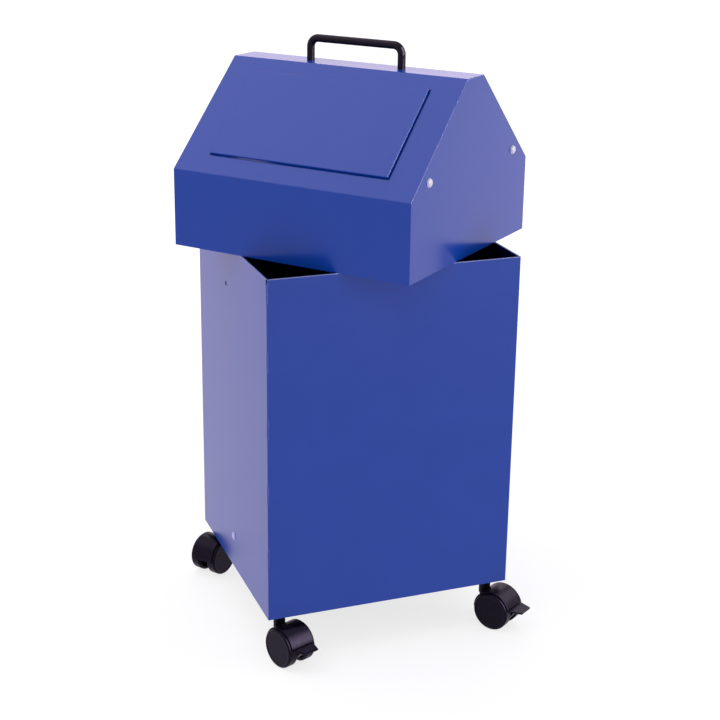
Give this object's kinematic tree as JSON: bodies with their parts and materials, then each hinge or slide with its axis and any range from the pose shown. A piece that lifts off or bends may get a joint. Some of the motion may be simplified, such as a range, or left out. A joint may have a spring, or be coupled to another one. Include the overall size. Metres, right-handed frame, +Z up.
{
  "type": "wheeled recycling bin",
  "caption": "Wheeled recycling bin: folded sheet-steel box on swivelling twin-wheel castors, with a loose gable hood, sprung push flaps and a lifting handle.",
  "frame": {"origin": "on the floor, under the middle of the box", "axes": "+Z up, -Y out of the box's front, +X to its right; the hood lies turned about Z on the rim"},
  "size_m": [0.4482, 0.451, 0.7543],
  "materials": {
    "blue_paint": "satin",
    "black_plastic": "satin",
    "black_handle": "semi-gloss",
    "light_head": "satin",
    "zinc_steel": "zinc plated",
    "nylon": "plain"
  },
  "bodies": {
    "bin": {"wall_front_right": "blue_paint", "wall_rear_left": "blue_paint", "floor_pan": "blue_paint", "floor_rivets": "light_head", "castor_washers": "zinc_steel", "castor_nuts": "zinc_steel", "castor_stem_front_left": "zinc_steel", "castor_stem_front_right": "zinc_steel", "castor_stem_rear_left": "zinc_steel", "castor_stem_rear_right": "zinc_steel"},
    "hood": {"hood_roof": "blue_paint", "hood_gable_left": "blue_paint", "hood_gable_right": "blue_paint", "hood_stops": "blue_paint", "hood_handle": "black_handle", "handle_screws": "zinc_steel", "flap_rod_front": "zinc_steel", "flap_rod_rear": "zinc_steel", "flap_rod_caps": "light_head", "flap_spring_front": "zinc_steel", "flap_spring_rear": "zinc_steel"},
    "front_flap": {"flap_front": "blue_paint", "flap_bushes_front": "nylon"},
    "rear_flap": {"flap_rear": "blue_paint", "flap_bushes_rear": "nylon"},
    "castor_front_left": {"castor_cover_front_left": "black_plastic", "castor_axle_front_left": "zinc_steel", "brake_pin_front_left": "zinc_steel"},
    "wheel_front_left_left": {"castor_wheel_front_left_left": "black_plastic"},
    "wheel_front_left_right": {"castor_wheel_front_left_right": "black_plastic"},
    "brake_front_left": {"brake_lever_front_left": "black_plastic"},
    "castor_front_right": {"castor_cover_front_right": "black_plastic", "castor_axle_front_right": "zinc_steel", "brake_pin_front_right": "zinc_steel"},
    "wheel_front_right_left": {"castor_wheel_front_right_left": "black_plastic"},
    "wheel_front_right_right": {"castor_wheel_front_right_right": "black_plastic"},
    "brake_front_right": {"brake_lever_front_right": "black_plastic"},
    "castor_rear_left": {"castor_cover_rear_left": "black_plastic", "castor_axle_rear_left": "zinc_steel"},
    "wheel_rear_left_left": {"castor_wheel_rear_left_left": "black_plastic"},
    "wheel_rear_left_right": {"castor_wheel_rear_left_right": "black_plastic"},
    "castor_rear_right": {"castor_cover_rear_right": "black_plastic", "castor_axle_rear_right": "zinc_steel"},
    "wheel_rear_right_left": {"castor_wheel_rear_right_left": "black_plastic"},
    "wheel_rear_right_right": {"castor_wheel_rear_right_right": "black_plastic"}
  },
  "joints": [
    {"name": "hood_lift", "type": "slide", "parent": "bin", "child": "hood", "axis": [0, 0, 1], "range_m": [0, 0.3]},
    {"name": "front_flap_swing", "type": "hinge", "parent": "hood", "child": "front_flap", "pos_m": [-0.08697, -0.07108, 0.61486], "axis": [-0.6328, 0.7743, 0], "range_deg": [0, 80], "stiffness_Nm_per_rad": 0.16, "springref_deg": -91.67, "deforming": ["flap_spring_front"]},
    {"name": "rear_flap_swing", "type": "hinge", "parent": "hood", "child": "rear_flap", "pos_m": [0.08697, 0.07108, 0.61486], "axis": [0.6328, -0.7743, 0], "range_deg": [0, 80], "stiffness_Nm_per_rad": 0.16, "springref_deg": -91.67, "deforming": ["flap_spring_rear"]},
    {"name": "castor_front_left_swivel", "type": "hinge", "parent": "bin", "child": "castor_front_left", "pos_m": [-0.142, -0.132, 0.063], "axis": [0, 0, 1], "continuous": true},
    {"name": "wheel_front_left_left_spin", "type": "hinge", "parent": "castor_front_left", "child": "wheel_front_left_left", "pos_m": [-0.13429, -0.15207, 0.025], "axis": [0.9336, 0.3584, 0], "continuous": true},
    {"name": "wheel_front_left_right_spin", "type": "hinge", "parent": "castor_front_left", "child": "wheel_front_left_right", "pos_m": [-0.13429, -0.15207, 0.025], "axis": [0.9336, 0.3584, 0], "continuous": true},
    {"name": "brake_front_left_press", "type": "hinge", "parent": "castor_front_left", "child": "brake_front_left", "pos_m": [-0.12784, -0.16888, 0.02], "axis": [0.9336, 0.3584, 0], "range_deg": [0, 20]},
    {"name": "castor_front_right_swivel", "type": "hinge", "parent": "bin", "child": "castor_front_right", "pos_m": [0.142, -0.132, 0.063], "axis": [0, 0, 1], "continuous": true},
    {"name": "wheel_front_right_left_spin", "type": "hinge", "parent": "castor_front_right", "child": "wheel_front_right_left", "pos_m": [0.15387, -0.14993, 0.025], "axis": [0.8339, 0.5519, 0], "continuous": true},
    {"name": "wheel_front_right_right_spin", "type": "hinge", "parent": "castor_front_right", "child": "wheel_front_right_right", "pos_m": [0.15387, -0.14993, 0.025], "axis": [0.8339, 0.5519, 0], "continuous": true},
    {"name": "brake_front_right_press", "type": "hinge", "parent": "castor_front_right", "child": "brake_front_right", "pos_m": [0.1638, -0.16494, 0.02], "axis": [0.8339, 0.5519, 0], "range_deg": [0, 20]},
    {"name": "castor_rear_left_swivel", "type": "hinge", "parent": "bin", "child": "castor_rear_left", "pos_m": [-0.142, 0.132, 0.063], "axis": [0, 0, 1], "continuous": true},
    {"name": "wheel_rear_left_left_spin", "type": "hinge", "parent": "castor_rear_left", "child": "wheel_rear_left_left", "pos_m": [-0.15939, 0.11936, 0.025], "axis": [0.5878, -0.809, 0], "continuous": true},
    {"name": "wheel_rear_left_right_spin", "type": "hinge", "parent": "castor_rear_left", "child": "wheel_rear_left_right", "pos_m": [-0.15939, 0.11936, 0.025], "axis": [0.5878, -0.809, 0], "continuous": true},
    {"name": "castor_rear_right_swivel", "type": "hinge", "parent": "bin", "child": "castor_rear_right", "pos_m": [0.142, 0.132, 0.063], "axis": [0, 0, 1], "continuous": true},
    {"name": "wheel_rear_right_left_spin", "type": "hinge", "parent": "castor_rear_right", "child": "wheel_rear_right_left", "pos_m": [0.12083, 0.13573, 0.025], "axis": [-0.1736, -0.9848, 0], "continuous": true},
    {"name": "wheel_rear_right_right_spin", "type": "hinge", "parent": "castor_rear_right", "child": "wheel_rear_right_right", "pos_m": [0.12083, 0.13573, 0.025], "axis": [-0.1736, -0.9848, 0], "continuous": true}
  ]
}
